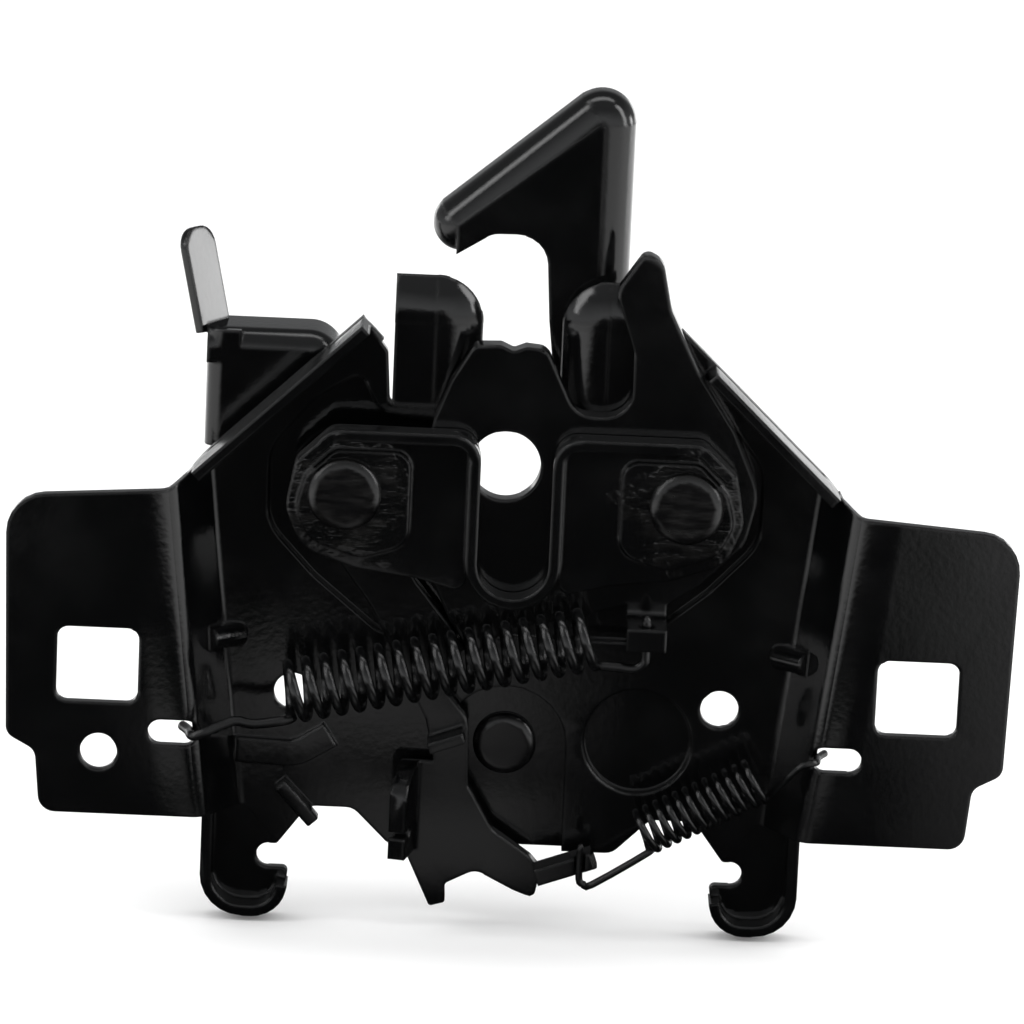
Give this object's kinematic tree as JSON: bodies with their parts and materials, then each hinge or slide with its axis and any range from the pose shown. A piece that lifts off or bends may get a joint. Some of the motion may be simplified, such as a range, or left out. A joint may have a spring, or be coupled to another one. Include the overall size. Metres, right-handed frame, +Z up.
{
  "type": "bonnet latch",
  "caption": "Car bonnet latch: pressed steel pan with bolt-on wings, a sprung claw that takes the striker, a pawl that locks it, and a hooked safety catch with a release handle behind.",
  "frame": {"origin": "midway between the two square bolt holes, on the plane of the wings' rear faces", "axes": "+X to the right as seen from the front, +Y backwards into the vehicle panel, +Z up towards the bonnet's striker"},
  "size_m": [0.1776, 0.0387, 0.1494],
  "materials": {
    "black_coat": "gloss black electro-coat on pressed steel sheet",
    "black_zinc": "black coated turned steel with a trace of grease, satin",
    "spring_black": "black coated spring wire, semi-gloss"
  },
  "bodies": {
    "frame": {"base_plate": "black_coat", "cover_plate": "black_coat", "claw_rivet": "black_zinc", "pawl_rivet": "black_zinc", "catch_rivet": "black_zinc", "claw_bushing": "black_zinc", "pawl_bushing": "black_zinc", "catch_bushing": "black_zinc", "claw_washer": "black_zinc", "pawl_washer": "black_zinc", "catch_washer": "black_zinc", "catch_spacer": "black_zinc", "claw_spring": "spring_black", "pawl_spring": "spring_black", "catch_spring": "spring_black"},
    "claw": {"claw": "black_coat"},
    "pawl": {"pawl": "black_coat"},
    "catch": {"safety_catch": "black_coat", "release_handle": "black_coat", "upper_handle_rivet": "black_zinc", "lower_handle_rivet": "black_zinc"}
  },
  "joints": [
    {"name": "claw_turn", "type": "hinge", "parent": "frame", "child": "claw", "pos_m": [0.03, 0.0056, 0.0324], "axis": [0, -1, 0], "range_deg": [0, 70], "stiffness_Nm_per_rad": 0.5, "springref_deg": -17.19, "deforming": ["claw_spring"]},
    {"name": "pawl_turn", "type": "hinge", "parent": "frame", "child": "pawl", "pos_m": [-0.03, 0.0056, 0.0324], "axis": [0, 1, 0], "range_deg": [0, 7], "stiffness_Nm_per_rad": 0.4, "springref_deg": -17.19, "deforming": ["pawl_spring"]},
    {"name": "catch_turn", "type": "hinge", "parent": "frame", "child": "catch", "pos_m": [0, 0.015, -0.0145], "axis": [0, 1, 0], "range_deg": [0, 14], "stiffness_Nm_per_rad": 0.8, "springref_deg": -17.19, "deforming": ["catch_spring"]}
  ]
}
